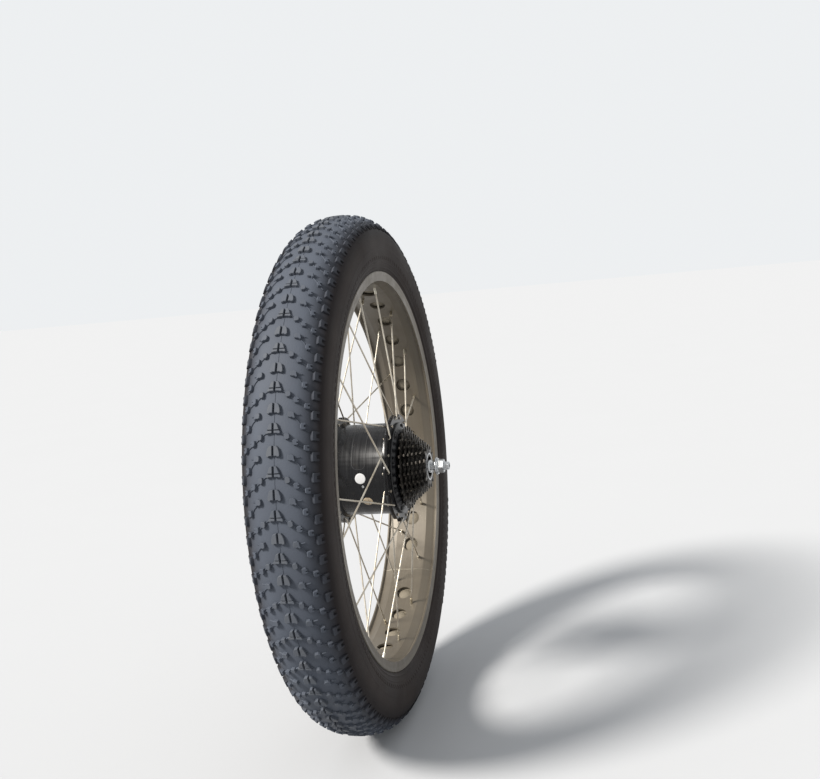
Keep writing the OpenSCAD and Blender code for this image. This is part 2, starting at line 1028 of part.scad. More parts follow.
module tyre() {
  outer = section(tyre_width / 2, tyre_r - 324, 60, -34);
  inner = section(tyre_width / 2 - 3.2, tyre_r - 324 - 11, 58, -30);
  half = concat(
    [[bead_r + 0.4, 33.8], [bead_r + 0.4, rim_half - 3.5], [283, rim_half - 2.9], [287.2, rim_half - 2.7]],
    outer
  );
  half_in = concat([[285.5, 34.8]], inner);
  color([0.14, 0.14, 0.14])
    lay()
      rotate_extrude($fn = 256)
        difference() {
          polygon(concat(half, flip(half)));
          polygon(concat(half_in, flip(half_in), [[270, -33.8], [270, 33.8]]));
        }
}

// Inflated tube between the tyre and the rim strip
module inner_tube() {
  outer = section(tyre_width / 2 - 4.2, tyre_r - 324 - 12, 54, -24);
  inner = section(tyre_width / 2 - 5.6, tyre_r - 324 - 13.4, 52.6, -24);
  color([0.1, 0.1, 0.1])
    lay()
      rotate_extrude($fn = 180)
        difference() {
          polygon(concat([[282.6, 32]], outer, flip(outer), [[282.6, -32]]));
          polygon(concat([[284, 31]], inner, flip(inner), [[284, -31]]));
        }
}

// Stem with its moulded foot on the tube
module valve_stem() {
  color([0.12, 0.12, 0.12])
    lay()
      rotate([0, 0, valve_angle])
        rotate([0, 90, 0]) {
          translate([0, 0, 236])
            cylinder(h = 46, r = 4, $fn = 32);
          translate([0, 0, 281.2])
            cylinder(h = 1, r = 11, $fn = 48);
        }
}

module valve_nut() {
  color("silver")
    lay()
      rotate([0, 0, valve_angle])
        translate([well_r - 4, 0, 0])
          rotate([0, 90, 0])
            difference() {
              cylinder(h = 3.9, r = 7, $fn = 6);
              translate([0, 0, -1])
                cylinder(h = 6, r = 4, $fn = 32);
            }
}

module valve_cap() {
  color([0.08, 0.08, 0.08])
    lay()
      rotate([0, 0, valve_angle])
        translate([233, 0, 0])
          rotate([0, 90, 0])
            difference() {
              cylinder(h = 11, r = 5.2, $fn = 32);
              translate([0, 0, 3])
                cylinder(h = 9, r = 4, $fn = 32);
            }
}

// ---------- Freewheel ----------

module freewheel_inner_body() {
  color("dimgray")
    lay()
      difference() {
        union() {
          post(pawl_seat_r, inner_start, 72);
          post(race_r, 71.9, 88);
          post(17.5, 87.9, inner_end);
        }
        post(neck_r, inner_start - 1, thread_end, 96);
        post(14.3, thread_end - 1, inner_end + 1, 48);
        ball_groove(race_r + 0.4, 1.56, 86);
        ball_groove(pawl_seat_r + 0.4, 1.56, 60.4);
        // Two pockets for the pawls
        for (i = [0:1])
          rotate([0, 0, i * 180])
            translate([21.4, -4.6, pawl_start])
              cube([6, 9.2, pawl_end - pawl_start]);
        // Splines for the removal tool
        for (i = [0:11])
          rotate([0, 0, i * 30])
            translate([14, -1.1, thread_end + 2])
              cube([1.3, 2.2, 20]);
      }
}

// Pawls, drawn lifted off the ratchet
module freewheel_pawls() {
  color("silver")
    lay()
      for (i = [0:1])
        rotate([0, 0, i * 180])
          translate([0, 0, pawl_start + 0.4])
            linear_extrude(height = pawl_end - pawl_start - 0.8)
              polygon([
                [21.6, -4.3],
                [23.6, -4.3],
                [25.4, 3.4],
                [24.6, 4.3],
                [21.6, 4.3]
              ]);
}

module freewheel_outer_body() {
  color("dimgray")
    lay()
      difference() {
        union() {
          post(33, 59.4, 78.2);
          post(36, first_sprocket + sprocket_t / 2, first_sprocket + sprocket_t / 2 + 1.4);
          post(28, 78.1, 83.1);
          post(25, 83, 88);
          post(22.4, 87.9, 92.4);
        }
        post(ratchet_r, 61.9, 71, 96);
        post(outer_bore_r, 58, 93, 96);
        post(24.4, 58, 62, 96);
        ball_groove(race_r + 0.4, 1.5, 86);
        ball_groove(pawl_seat_r + 0.4, 1.5, 60.4);
        post(race_r + 0.3, 87.4, 93, 96);
        post(24.4, 70.9, 72.4, 96);
      }
  // Ratchet teeth inside the outer body
  color("dimgray")
    lay()
      translate([0, 0, 61.9])
        linear_extrude(height = 9.2)
          for (i = [0:ratchet_teeth - 1])
            rotate([0, 0, i * 360 / ratchet_teeth])
              polygon([
                [ratchet_r + 0.2, -0.5],
                [26.1, 0],
                [26.3, 1],
                [ratchet_r + 0.2, 3.4]
              ]);
}

function sprocket_pitch_r(teeth) = roller_pitch / (2 * sin(180 / teeth));

// Sprocket: plate with one roller seat per tooth
module sprocket(index, bore_r) {
  teeth = sprocket_teeth[index];
  pitch_r = sprocket_pitch_r(teeth);
  z = first_sprocket + index * sprocket_pitch;
  color([0.25, 0.24, 0.22])
    lay()
      translate([0, 0, z - sprocket_t / 2])
        linear_extrude(height = sprocket_t)
          difference() {
            circle(r = pitch_r + 3.3, $fn = 180);
            circle(r = bore_r, $fn = 96);
            for (i = [0:teeth - 1])
              rotate([0, 0, (i + 0.5) * 360 / teeth])
                union() {
                  translate([pitch_r, 0])
                    circle(r = roller_r + 0.1, $fn = 24);
                  polygon([
                    [pitch_r, -roller_r - 0.1],
                    [pitch_r + 5, -roller_r - 1.6],
                    [pitch_r + 5, roller_r + 1.6],
                    [pitch_r, roller_r + 0.1]
                  ]);
                }
          }
}

module sprocket_28t() {
  sprocket(0, 33);
}

module sprocket_24t() {
  sprocket(1, 33);
}

module sprocket_22t() {
  sprocket(2, 33);
}

module sprocket_20t() {
  sprocket(3, 33);
}

module sprocket_18t() {
  sprocket(4, 28);
}

module sprocket_16t() {
  sprocket(5, 25);
}

module sprocket_14t() {
  sprocket(6, 22.4);
}

// Cone that closes the outer ball race, screwed on the inner body
module freewheel_lock_ring() {
  color("gray")
    lay()
      difference() {
        ring(17.5, race_r, 88, inner_end);
        for (i = [0:1])
          rotate([0, 0, 90 + i * 180])
            translate([18.6, 0, 0])
              post(0.8, 91, 94, 16);
      }
}

module freewheel_balls() {
  color("whitesmoke")
    lay() {
      ball_row(30, race_r + 0.4, 1.5, 86);
      ball_row(36, pawl_seat_r + 0.4, 1.5, 60.4);
    }
}

// ---------- Rotor, on its own bearings ----------

module rotor_can() {
  color("darkgray")
    lay()
      difference() {
        union() {
          ring(rotor_r - rotor_wall, rotor_r, -rotor_half, rotor_half + plate_t);
          ring(15, rotor_r - 1, rotor_half, rotor_half + plate_t);
          ring(15, 19, rotor_shoulder, rotor_half + plate_t);
        }
        for (i = [0:5])
          rotate([0, 0, i * 60])
            translate([38, 0, 0])
              post(7, rotor_half - 1, rotor_half + plate_t + 1, 40);
      }
}

module rotor_end_cap() {
  color("darkgray")
    lay()
      difference() {
        union() {
          ring(15, rotor_r, -rotor_half - plate_t, -rotor_half);
          ring(15, 19, -rotor_half - plate_t, -rotor_shoulder);
        }
        for (i = [0:5])
          rotate([0, 0, i * 60])
            translate([30, 0, 0])
              post(5, -rotor_half - plate_t - 1, -rotor_half + 1, 40);
      }
}

module rotor_magnets() {
  step = 360 / magnet_count;
  color("lightslategray")
    lay()
      for (i = [0:magnet_count - 1])
        rotate([0, 0, i * step + 1])
          rotate_extrude(angle = step - 2, $fn = 180)
            translate([air_gap_r, -stack_length / 2])
              square([magnet_t, stack_length]);
}

module sun_gear() {
  color("silver")
    lay()
      difference() {
        union() {
          post(18, sun_start, sun_start + 2);
          translate([0, 0, sun_start])
            linear_extrude(height = sun_end - sun_start)
              gear_2d(sun_teeth, 1.25 * gear_module, gear_module, backlash_angle);
        }
        post(gear_side_r + 0.4, sun_start - 1, sun_end + 1);
      }
}

module rotor_bearing_outer_rings() {
  color("gainsboro")
    lay()
      for (s = [-1, 1])
        difference() {
          ring(13, 15, s * 24.5 - 3.5, s * 24.5 + 3.5);
          ball_groove(11.75, 1.95, s * 24.5);
        }
}

module rotor_bearing_balls() {
  color("whitesmoke")
    lay()
      for (s = [-1, 1])
        ball_row(11, 11.75, 1.95, s * 24.5);
}

// ---------- Planets ----------

// Nylon planet with a thin web, one tooth on its radial line
module planet(angle) {
  color("ivory")
    lay()
      rotate([0, 0, angle])
        translate([centre_distance, 0, 0])
          difference() {
            translate([0, 0, planet_start])
              linear_extrude(height = planet_end - planet_start)
                gear_2d(planet_teeth, 1.25 * gear_module, gear_module, backlash_angle);
            post(pin_r + pin_gap, planet_start - 1, planet_end + 1);
            ring(8, 17, planet_start - 1, planet_start + 3.2);
            ring(8, 17, planet_end - 3.2, planet_end + 1);
          }
}

module planet_gear_1() {
  planet(planet_angles[0]);
}

module planet_gear_2() {
  planet(planet_angles[1]);
}

module planet_gear_3() {
  planet(planet_angles[2]);
}

axle();
axle_keys();
stator_core();
stator_windings();
stator_hub();
hall_sensor_board();
clutch_inner_race();
clutch_rollers();
planet_carrier();
planet_pins();
hub_bearing_inner_rings();
rotor_bearing_inner_rings();
left_spacer();
right_spacer();
torque_washers();
axle_nuts();
cable_grommet();
hub_shell();
left_cover();
right_cover();
left_cover_screws();
right_cover_screws();
cover_gaskets();
ring_gear();
hub_bearing_outer_rings();
hub_bearing_balls();
shaft_seals();
brake_disc();
brake_disc_bolts();
rim();
rim_strip();
spokes_left();
spokes_right();
spoke_nipples();
inner_tube();
valve_stem();
valve_nut();
valve_cap();
tyre();
freewheel_inner_body();
freewheel_pawls();
freewheel_outer_body();
sprocket_28t();
sprocket_24t();
sprocket_22t();
sprocket_20t();
sprocket_18t();
sprocket_16t();
sprocket_14t();
freewheel_lock_ring();
freewheel_balls();
rotor_can();
rotor_end_cap();
rotor_magnets();
sun_gear();
rotor_bearing_outer_rings();
rotor_bearing_balls();
planet_gear_1();
planet_gear_2();
planet_gear_3();
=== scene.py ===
import math
from bisect import bisect_left

import bmesh
import bpy
from mathutils import Matrix, Vector


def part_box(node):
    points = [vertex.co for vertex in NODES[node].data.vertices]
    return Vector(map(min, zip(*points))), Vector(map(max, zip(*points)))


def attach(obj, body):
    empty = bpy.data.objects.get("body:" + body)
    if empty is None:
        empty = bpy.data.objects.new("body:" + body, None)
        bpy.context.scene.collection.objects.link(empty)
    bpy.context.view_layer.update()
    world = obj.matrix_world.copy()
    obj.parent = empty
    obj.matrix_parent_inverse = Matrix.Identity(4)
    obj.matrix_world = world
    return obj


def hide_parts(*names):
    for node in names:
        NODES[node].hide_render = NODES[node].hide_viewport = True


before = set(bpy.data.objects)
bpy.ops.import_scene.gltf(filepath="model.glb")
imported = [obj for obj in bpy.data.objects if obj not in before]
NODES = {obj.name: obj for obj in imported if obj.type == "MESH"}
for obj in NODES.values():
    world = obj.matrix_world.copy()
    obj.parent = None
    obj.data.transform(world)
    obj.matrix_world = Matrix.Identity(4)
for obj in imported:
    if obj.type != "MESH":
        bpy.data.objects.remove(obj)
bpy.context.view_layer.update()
MM = 0.001


# ---------------------------------------------------------------- materials


class Mat:
    """A Principled material whose patterns lie in the object's own coordinates, in metres."""

    def __init__(self, name, color, rough=0.5, metal=0.0, **sockets):
        self.mat = bpy.data.materials.new(name)
        self.mat.use_nodes = True
        self.tree = self.mat.node_tree
        self.bsdf = self.tree.nodes["Principled BSDF"]
        self.bsdf.inputs["Base Color"].default_value = (*color, 1)
        self.bsdf.inputs["Roughness"].default_value = rough
        self.bsdf.inputs["Metallic"].default_value = metal
        for key, value in sockets.items():
            self.bsdf.inputs[key.replace("_", " ")].default_value = value
        self.coord = self.node("ShaderNodeTexCoord").outputs["Object"]
        self.normal = None

    def node(self, kind, **settings):
        node = self.tree.nodes.new(kind)
        for key, value in settings.items():
            setattr(node, key, value)
        return node

    def link(self, a, b):
        self.tree.links.new(a, b)

    def math(self, op, *values):
        node = self.node("ShaderNodeMath", operation=op)
        for socket, value in zip(node.inputs, values):
            if isinstance(value, (int, float)):
                socket.default_value = value
            else:
                self.link(value, socket)
        return node.outputs[0]

    def split(self):
        node = self.node("ShaderNodeSeparateXYZ")
        self.link(self.coord, node.inputs[0])
        return node.outputs

    def radius(self):
        """Distance from the axle line."""
        x, y, z = self.split()
        xx = self.math("MULTIPLY", x, x)
        return self.math("SQRT", self.math("MULTIPLY_ADD", z, z, xx))

    def turned(self, radial, along):
        """Coordinates (angle x radial, r, y x along) for marks that run round the axle."""
        x, y, z = self.split()
        angle = self.math("ARCTAN2", z, x)
        node = self.node("ShaderNodeCombineXYZ")
        self.link(self.math("MULTIPLY", angle, radial), node.inputs[0])
        self.link(self.radius(), node.inputs[1])
        self.link(self.math("MULTIPLY", y, along), node.inputs[2])
        return node.outputs[0]

    def stretched(self, vector, scale):
        node = self.node("ShaderNodeMapping")
        node.inputs["Scale"].default_value = scale
        self.link(vector, node.inputs["Vector"])
        return node.outputs[0]

    def noise(self, scale, detail=3, vector=None):
        node = self.node("ShaderNodeTexNoise")
        node.inputs["Scale"].default_value = scale
        node.inputs["Detail"].default_value = detail
        node.inputs["Roughness"].default_value = 0.55
        self.link(vector or self.coord, node.inputs["Vector"])
        return node.outputs[0]

    def bands(self, direction, scale, vector=None, distortion=0.0):
        """Height of parallel ribs across one direction."""
        node = self.node("ShaderNodeTexWave", wave_type="BANDS", bands_direction=direction)
        node.inputs["Scale"].default_value = scale
        node.inputs["Distortion"].default_value = distortion
        self.link(vector or self.coord, node.inputs["Vector"])
        return node.outputs[1]

    def span(self, value, lo, hi, to_lo=0.0, to_hi=1.0):
        """The value's range from lo to hi, mapped to another range and clamped to it."""
        node = self.node("ShaderNodeMapRange")
        self.link(value, node.inputs[0])
        for socket, limit in zip(node.inputs[1:5], (lo, hi, to_lo, to_hi)):
            socket.default_value = limit
        return node.outputs[0]

    def tint(self, factor, color):
        """Mixes another colour over what the base colour has so far."""
        node = self.node("ShaderNodeMix", data_type="RGBA")
        base = self.bsdf.inputs["Base Color"]
        self.link(factor, node.inputs[0])
        if base.links:
            self.link(base.links[0].from_socket, node.inputs[6])
        else:
            node.inputs[6].default_value = base.default_value
        node.inputs[7].default_value = (*color, 1)
        self.link(node.outputs[2], base)

    def rough(self, value, lo, hi, to_lo, to_hi):
        self.link(self.span(value, lo, hi, to_lo, to_hi), self.bsdf.inputs["Roughness"])

    def bump(self, height, distance, strength):
        """Adds relief over the bumps given so far."""
        node = self.node("ShaderNodeBump")
        node.inputs["Distance"].default_value = distance
        node.inputs["Strength"].default_value = strength
        self.link(height, node.inputs["Height"])
        if self.normal:
            self.link(self.normal, node.inputs["Normal"])
        self.normal = node.outputs[0]
        self.link(self.normal, self.bsdf.inputs["Normal"])


def rubber_tyre():
    m = Mat("tyre_rubber", (0.0105, 0.0085, 0.0090), 0.60, Specular_IOR_Level=0.13)
    r = m.radius()
    cloud = m.noise(9, 4)
    fine = m.noise(420)
    # The tread is tinted a dusty slate grey that is partly painted light: it stands in for the tread's sunlit
    # brightness and a blue sky sheen. Worn lighter patches sit most of all on the knobs' tops
    tread_dust_and_painted_light = m.math("MULTIPLY", m.span(r, 0.345, 0.362), m.span(cloud, 0.25, 0.75, 0.72, 1.0))
    m.tint(tread_dust_and_painted_light, (0.066, 0.076, 0.096))
    patches = m.span(m.noise(55, 4), 0.35, 0.65, 0.3, 1.0)
    m.tint(m.math("MULTIPLY", m.span(r, 0.3655, 0.3688, 0.0, 0.55), patches), (0.088, 0.092, 0.098))
    # The sidewall keeps a darker, warm brown-black: painted shade, with a painted warm reflection of the
    # ground
    side = m.math("MULTIPLY", m.span(r, 0.346, 0.330), m.span(m.noise(16, 5), 0.35, 0.75, 0.5, 0.9))
    m.tint(side, (0.024, 0.0170, 0.0142))
    m.tint(m.span(fine, 0.62, 0.8, 0.0, 0.15), (0.066, 0.062, 0.058))
    m.rough(cloud, 0.3, 0.7, 0.54, 0.74)
    m.bump(m.noise(1500, 2), 0.00012, 0.5)
    m.bump(fine, 0.00035, 0.5)
    return m.mat


def alloy_rim():
    m = Mat("rim_alloy", (0.104, 0.088, 0.066), 0.42, 0.3)
    lines = m.noise(1.0, vector=m.turned(3.0, 1500))
    m.tint(m.span(m.noise(14, 5), 0.42, 0.8, 0.0, 0.6), (0.078, 0.063, 0.045))
    m.tint(m.span(lines, 0.4, 0.7, 0.0, 0.35), (0.138, 0.122, 0.097))
    m.rough(m.noise(60, 4), 0.3, 0.7, 0.32, 0.48)
    m.bump(lines, 0.00004, 0.6)
    return m.mat


def drawn_steel(name, color, rough, wear):
    m = Mat(name, color, rough, 1.0)
    m.tint(m.span(m.noise(38, 4), 0.45, 0.75, 0.0, 0.8), wear)
    m.rough(m.noise(160), 0.3, 0.7, rough * 0.8, rough * 1.5)
    m.bump(m.noise(900, 2), 0.00003, 0.4)
    return m.mat


def shell_black():
    m = Mat("shell_black", (0.0045, 0.0045, 0.0052), 0.3, 0.0, Specular_IOR_Level=0.3)
    rings = m.noise(1.0, 2, vector=m.turned(0.35, 210))
    fine = m.noise(1.0, 2, vector=m.turned(2.0, 1700))
    m.tint(m.span(rings, 0.42, 0.66, 0.0, 0.6), (0.011, 0.011, 0.0125))
    m.tint(m.span(m.noise(90, 4), 0.60, 0.78, 0.0, 0.35), (0.026, 0.022, 0.017))
    m.rough(rings, 0.35, 0.65, 0.22, 0.34)
    m.bump(fine, 0.00003, 0.5)
    m.bump(rings, 0.00008, 0.5)
    return m.mat


def oiled_steel(name, color, edge):
    m = Mat(name, color, 0.42, 0.9)
    m.tint(m.span(m.noise(120, 5), 0.55, 0.75, 0.0, 0.75), edge)
    m.tint(m.span(m.noise(26, 4), 0.5, 0.8, 0.0, 0.5), (0.035, 0.026, 0.018))
    m.rough(m.noise(70, 4), 0.3, 0.7, 0.28, 0.60)
    m.bump(m.noise(600), 0.00006, 0.5)
    return m.mat


def plated(name, color, rough, turned=False):
    m = Mat(name, color, rough, 1.0)
    m.tint(m.span(m.noise(70, 4), 0.5, 0.8, 0.0, 0.5), tuple(c * 0.72 for c in color))
    if turned:
        m.bump(m.noise(1.0, 2, vector=m.turned(1.5, 2600)), 0.00003, 0.7)
    m.rough(m.noise(240), 0.3, 0.7, rough * 0.8, rough * 1.4)
    m.bump(m.noise(1200, 2), 0.00002, 0.4)
    return m.mat


def brake_steel():
    m = Mat("disc_steel", (0.60, 0.59, 0.57), 0.28, 1.0)
    rings = m.noise(1.0, vector=m.stretched(m.turned(1.2, 60), (1, 2400, 1)))
    m.tint(m.span(rings, 0.4, 0.65, 0.0, 0.6), (0.46, 0.45, 0.44))
    # The band that the pads rub is brighter
    band = m.math("MULTIPLY", m.span(m.radius(), 0.0738, 0.0746), m.span(rings, 0.5, 0.7, 0.15, 0.7))
    m.tint(band, (0.74, 0.73, 0.71))
    m.rough(rings, 0.3, 0.7, 0.20, 0.36)
    m.bump(rings, 0.00003, 0.8)
    return m.mat


def plain_rubber(name, color, rough):
    m = Mat(name, color, rough)
    m.tint(m.span(m.noise(140), 0.5, 0.8, 0.0, 0.6), tuple(c * 2 for c in color))
    m.rough(m.noise(60), 0.3, 0.7, rough * 0.85, rough * 1.2)
    m.bump(m.noise(800), 0.00008, 0.5)
    return m.mat


def woven():
    m = Mat("strip_weave", (0.175, 0.150, 0.110), 0.72)
    cloth = m.turned(0.278, 1.0)
    for direction in ("X", "Z"):
        m.bump(m.bands(direction, 420, cloth, 0.6), 0.0002, 0.6)
    m.tint(m.span(m.noise(30, 4), 0.45, 0.75, 0.0, 0.7), (0.120, 0.100, 0.070))
    return m.mat


def copper():
    m = Mat("copper_wire", (0.60, 0.25, 0.10), 0.3, 1.0, Coat_Weight=0.5)
    m.bump(m.bands("Y", 500), 0.0003, 0.8)
    m.tint(m.span(m.noise(50), 0.45, 0.75, 0.0, 0.6), (0.36, 0.13, 0.05))
    return m.mat


def laminated():
    m = Mat("laminations", (0.30, 0.31, 0.33), 0.45, 0.9)
    m.bump(m.bands("Y", 320), 0.0002, 0.8)
    m.tint(m.span(m.noise(60), 0.45, 0.75, 0.0, 0.6), (0.20, 0.17, 0.15))
    return m.mat


def moulded(name, color, rough):
    m = Mat(name, color, rough)
    m.tint(m.span(m.noise(80, 4), 0.45, 0.8, 0.0, 0.5), tuple(c * 0.8 for c in color))
    m.rough(m.noise(50), 0.3, 0.7, rough * 0.85, rough * 1.2)
    m.bump(m.noise(700), 0.00006, 0.5)
    return m.mat


def label_paper(name, color, stain, low, high):
    """Blank coated paper, stained where the noise rises from low to high."""
    m = Mat(name, color, 0.4, Coat_Weight=0.3)
    m.tint(m.span(m.noise(330, 4), low, high), stain)
    m.bump(m.noise(260), 0.00008, 0.5)
    return m.mat


TYRE = rubber_tyre()
RIM = alloy_rim()
SPOKE = drawn_steel("spoke_steel", (0.54, 0.50, 0.43), 0.42, (0.38, 0.31, 0.22))
NIPPLE = drawn_steel("nipple_plate", (0.72, 0.69, 0.60), 0.3, (0.50, 0.43, 0.30))
SHELL = shell_black()
SPROCKET = oiled_steel("sprocket_steel", (0.060, 0.055, 0.050), (0.26, 0.23, 0.19))
BODY = oiled_steel("freewheel_steel", (0.045, 0.042, 0.040), (0.15, 0.14, 0.12))
BOLT = oiled_steel("black_bolt", (0.03, 0.03, 0.032), (0.11, 0.105, 0.10))
ZINC = plated("zinc_plate", (0.56, 0.57, 0.58), 0.3, turned=True)
GROUND = plated("ground_steel", (0.66, 0.66, 0.66), 0.18, turned=True)
ALLOY = plated("machined_alloy", (0.58, 0.58, 0.58), 0.34, turned=True)
MAGNET = plated("magnet_nickel", (0.50, 0.50, 0.52), 0.25)
WELD = plated("weld_line", (0.26, 0.235, 0.19), 0.45)
DISC = brake_steel()
RUBBER = plain_rubber("black_rubber", (0.022, 0.022, 0.024), 0.6)
GASKET = plain_rubber("gasket_fibre", (0.03, 0.03, 0.03), 0.8)
STRIP = woven()
COPPER = copper()
CORE = laminated()
BOARD = moulded("board_green", (0.02, 0.16, 0.06), 0.35)
NYLON = moulded("nylon_natural", (0.78, 0.74, 0.62), 0.45)
CAP = moulded("cap_plastic", (0.02, 0.02, 0.02), 0.45)
ETCH = moulded("etched_line", (0.008, 0.008, 0.010), 0.5)
LABEL = label_paper("label_white", (0.50, 0.50, 0.505), (0.38, 0.375, 0.36), 0.56, 0.74)
WORN = label_paper("label_worn", (0.50, 0.40, 0.27), (0.16, 0.11, 0.07), 0.46, 0.62)

LOOK = {
    "tyre": TYRE, "rim": RIM, "rim_strip": STRIP, "inner_tube": RUBBER,
    "spokes_left": SPOKE, "spokes_right": SPOKE, "spoke_nipples": NIPPLE,
    "valve_stem": RUBBER, "valve_nut": ZINC, "valve_cap": CAP,
    "axle": ZINC, "axle_keys": BOLT, "axle_nuts": ZINC, "torque_washers": ZINC,
    "left_spacer": ZINC, "right_spacer": ZINC, "cable_grommet": RUBBER,
    "hub_shell": SHELL, "left_cover": SHELL, "right_cover": SHELL,
    "left_cover_screws": BOLT, "right_cover_screws": BOLT, "cover_gaskets": GASKET,
    "brake_disc": DISC, "brake_disc_bolts": BOLT, "shaft_seals": RUBBER,
    "hub_bearing_inner_rings": GROUND, "hub_bearing_outer_rings": GROUND, "hub_bearing_balls": GROUND,
    "rotor_bearing_inner_rings": GROUND, "rotor_bearing_outer_rings": GROUND, "rotor_bearing_balls": GROUND,
    "stator_core": CORE, "stator_windings": COPPER, "stator_hub": ALLOY, "hall_sensor_board": BOARD,
    "rotor_can": ZINC, "rotor_end_cap": ALLOY, "rotor_magnets": MAGNET, "sun_gear": GROUND,
    "planet_gear_1": NYLON, "planet_gear_2": NYLON, "planet_gear_3": NYLON,
    "planet_carrier": ZINC, "planet_pins": GROUND, "ring_gear": GROUND,
    "clutch_inner_race": GROUND, "clutch_rollers": GROUND,
    "sprocket_28t": SPROCKET, "sprocket_24t": SPROCKET, "sprocket_22t": SPROCKET,
    "sprocket_20t": SPROCKET, "sprocket_18t": SPROCKET, "sprocket_16t": SPROCKET,
    "sprocket_14t": SPROCKET, "freewheel_lock_ring": ZINC, "freewheel_pawls": GROUND,
    "freewheel_inner_body": BODY, "freewheel_outer_body": BODY, "freewheel_balls": GROUND,
}
for name, obj in NODES.items():
    obj.data.materials.clear()
    obj.data.materials.append(LOOK[name])


# Width in mm of the rounding on the edges of CAD nodes
EDGE_BREAKS = {
    "hub_shell": 0.5, "left_cover": 0.5, "right_cover": 0.5, "axle_nuts": 0.4,
    "torque_washers": 0.3, "left_spacer": 0.3, "right_spacer": 0.3, "brake_disc": 0.2,
}


def soften(name, width):
    """Rounds the sharp edges of a CAD node by a real edge break."""
    obj = NODES[name]
    weld = obj.modifiers.new("weld", "WELD")
    weld.merge_threshold = 2e-6
    bevel = obj.modifiers.new("edge_break", "BEVEL")
    bevel.width = width * MM
    bevel.segments = 2
    bevel.limit_method = "ANGLE"
    bevel.angle_limit = math.radians(35)
    bevel.harden_normals = True


for name, width in EDGE_BREAKS.items():
    soften(name, width)


# ---------------------------------------------------------------- helpers


def mesh_piece(name, verts, faces, mat, body, sharp):
    """Closed mesh with its faces turned outwards, shaded smooth at edges under `sharp` degrees."""
    me = bpy.data.meshes.new(name)
    me.from_pydata(verts, [], faces)
    me.validate()
    me.materials.append(mat)
    bm = bmesh.new()
    bm.from_mesh(me)
    bmesh.ops.recalc_face_normals(bm, faces=bm.faces)
    bm.to_mesh(me)
    bm.free()
    me.polygons.foreach_set("use_smooth", [True] * len(me.polygons))
    me.set_sharp_from_angle(angle=math.radians(sharp))
    obj = bpy.data.objects.new(name, me)
    bpy.context.scene.collection.objects.link(obj)
    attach(obj, body)
    return obj


def around(r, y, a):
    """Point in metres at radius r and offset y in mm, and angle a from +X towards +Z."""
    return (r * MM * math.cos(a), y * MM, r * MM * math.sin(a))


def skin(faces, base, rings, n, loop=False):
    """Quads between successive closed rings of n vertices, and from the last ring to the first in a loop."""
    for k in range(rings if loop else rings - 1):
        this, other = base + k * n, base + (k + 1) % rings * n
        for i in range(n):
            j = (i + 1) % n
            faces.append((this + i, this + j, other + j, other + i))


def cap_ends(faces, base, rings, n):
    """One face over the first ring and one over the last."""
    last = base + (rings - 1) * n
    faces.append(tuple(range(base, base + n)))
    faces.append(tuple(range(last, last + n)))


def add_disc(verts, faces, rings, place, seg=40):
    """Closed round patch through rings of (radius, height), the first and last of which are single points."""
    base = len(verts)
    verts.append(place(0, 0, rings[0][1]))
    for rho, high in rings[1:-1]:
        verts += [place(rho, 2 * math.pi * i / seg, high) for i in range(seg)]
    verts.append(place(0, 0, rings[-1][1]))
    end = len(verts) - 1
    skin(faces, base + 1, len(rings) - 2, seg)
    for i in range(seg):
        j = (i + 1) % seg
        faces.append((base, base + 1 + i, base + 1 + j))
        faces.append((end, end - seg + i, end - seg + j))


# ---------------------------------------------------------------- tyre

TYRE_R = round(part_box("tyre")[1].z / MM, 2)   # over the knobs
HALF_W = 51.0                                 # at the widest point, over the sidewall
MID_R = 324.0                                 # radius of the widest point
CROWN = TYRE_R - MID_R
SIDE_DROP = 60.0                              # the sidewall's curve would end this far below MID_R
POWER = 2.4                                   # of the superellipse that the section follows
TREAD_H = 3.9                                 # height of the knobs
SIDE_DEPTH = 0.35                             # the sidewall lies this far inside the section
CROWN_WALL = 11.0                             # from the knob tops to the inside
SIDE_WALL = 3.2
BEAD_WALL = 2.0
SMOOTH_RUBBER = 32                            # degrees


def section_point(a, half_w, up):
    """Radius and offset on a quarter of the section, at angle a from the widest point."""
    ease = 2 / POWER
    return MID_R + up * math.sin(a) ** ease, half_w * math.cos(a) ** ease


def arc_table(steps=900):
    """Arc length from the middle of the tread to the widest point, with the offset and radius there."""
    rows = [(0.0, 0.0, TYRE_R)]
    s = 0.0
    for i in range(1, steps + 1):
        r, z = section_point(math.radians(90 * (steps - i) / steps), HALF_W, CROWN)
        s += math.hypot(z - rows[-1][1], r - rows[-1][2])
        rows.append((s, z, r))
    return rows


ARC = arc_table()
ARC_LENGTHS = [row[0] for row in ARC]


def tread_point(u, s, depth):
    """Point on the tread: u along the travel in mm from angle 0, s across, depth below the knob tops."""
    hi = min(max(bisect_left(ARC_LENGTHS, abs(s)), 1), len(ARC) - 1)
    (s0, z0, r0), (s1, z1, r1) = ARC[hi - 1], ARC[hi]
    part = (abs(s) - s0) / (s1 - s0)
    along_z, along_r = z1 - z0, r1 - r0
    length = math.hypot(along_z, along_r)
    z = z0 + along_z * part + along_r / length * depth
    r = r0 + along_r * part - along_z / length * depth
    return around(r, -math.copysign(z, s), u / TYRE_R)


PERIODS = 48
PERIOD = 2 * math.pi * TYRE_R / PERIODS
ROW_A_ANGLE = 168.75

